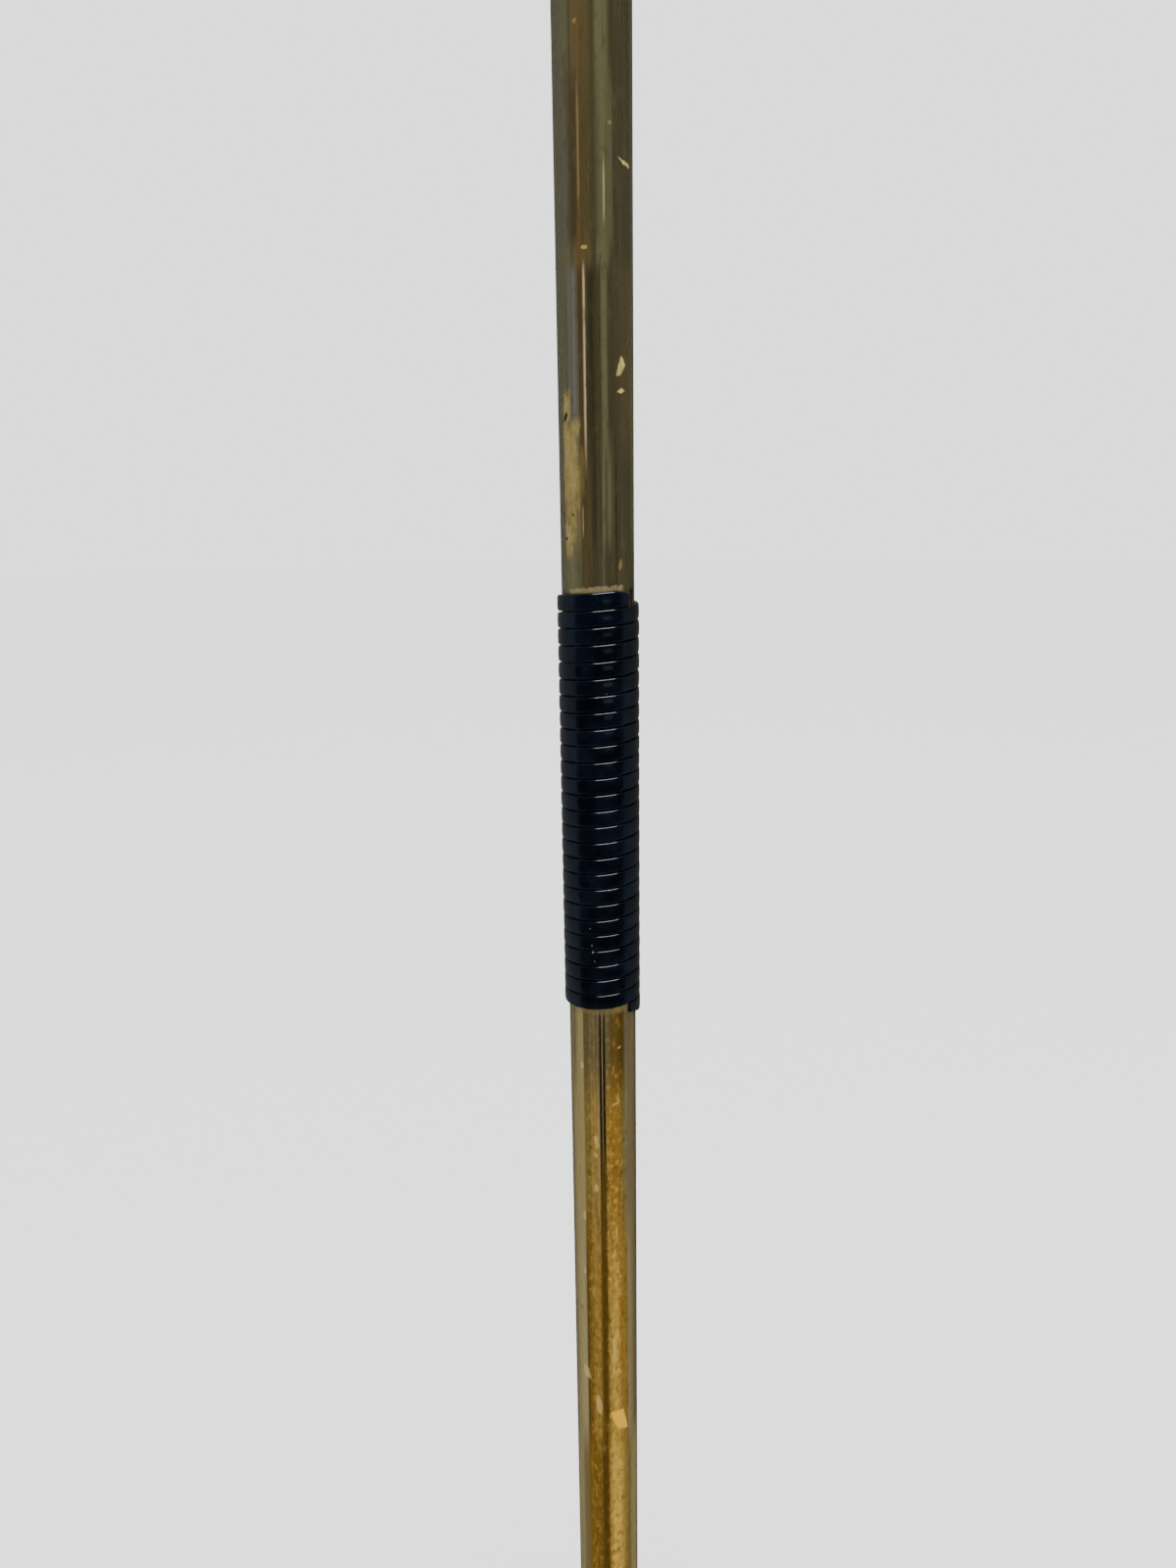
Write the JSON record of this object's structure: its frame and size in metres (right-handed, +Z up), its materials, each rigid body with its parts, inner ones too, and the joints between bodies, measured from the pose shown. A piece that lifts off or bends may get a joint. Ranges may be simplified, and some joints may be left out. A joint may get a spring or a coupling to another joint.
{
  "type": "rope barrier stanchion",
  "caption": "Free-standing brass post on a weighted domed base, with a strip-wound hand grip and, under a ball finial, a turning collar with hinged rings for barrier ropes.",
  "frame": {"origin": "on the floor at the centre of the base", "axes": "+Z up along the post; +X towards the right-hand rope ring; -Y towards the viewer; the base collar's set screw is at +Y"},
  "size_m": [0.3, 0.3, 0.9745],
  "materials": {
    "aged_brass": "tarnished, with rubbed bright patches",
    "turned_brass": "tarnished, brighter where it is handled",
    "cast_iron": "rough, black painted",
    "zinc_steel": "dull zinc plate",
    "black_rubber": "matt",
    "black_strip": "glossy black with a blue tint",
    "white_nylon": "natural, slightly yellowed"
  },
  "bodies": {
    "stand": {"floor_ring": "black_rubber", "base_weight": "cast_iron", "base_cover": "aged_brass", "base_bolt": "zinc_steel", "flat_washer": "zinc_steel", "spring_washer": "zinc_steel", "base_collar": "turned_brass", "collar_set_screw": "zinc_steel", "foot_plug": "turned_brass", "pole_tube": "aged_brass", "grip_wrap": "black_strip", "head_plug": "turned_brass", "neck_ferrule": "turned_brass", "lower_washer": "white_nylon", "swivel_bush": "turned_brass", "upper_washer": "white_nylon", "finial_base": "turned_brass", "finial_ball": "turned_brass", "finial_stud": "zinc_steel"},
    "swivel": {"ring_collar": "turned_brass", "ring_eye_right": "turned_brass", "ring_eye_left": "turned_brass"},
    "right_ring": {"rope_ring_right": "turned_brass"},
    "left_ring": {"rope_ring_left": "turned_brass"}
  },
  "joints": [
    {"name": "collar_swivel", "type": "hinge", "parent": "stand", "child": "swivel", "pos_m": [0, 0, 0.9033], "axis": [0, 0, 1], "continuous": true},
    {"name": "right_ring_hinge", "type": "hinge", "parent": "swivel", "child": "right_ring", "pos_m": [0.028, 0, 0.902], "axis": [0, -1, 0], "range_deg": [-15, 186]},
    {"name": "left_ring_hinge", "type": "hinge", "parent": "swivel", "child": "left_ring", "pos_m": [-0.028, 0, 0.902], "axis": [0, 1, 0], "range_deg": [-15, 186]}
  ]
}
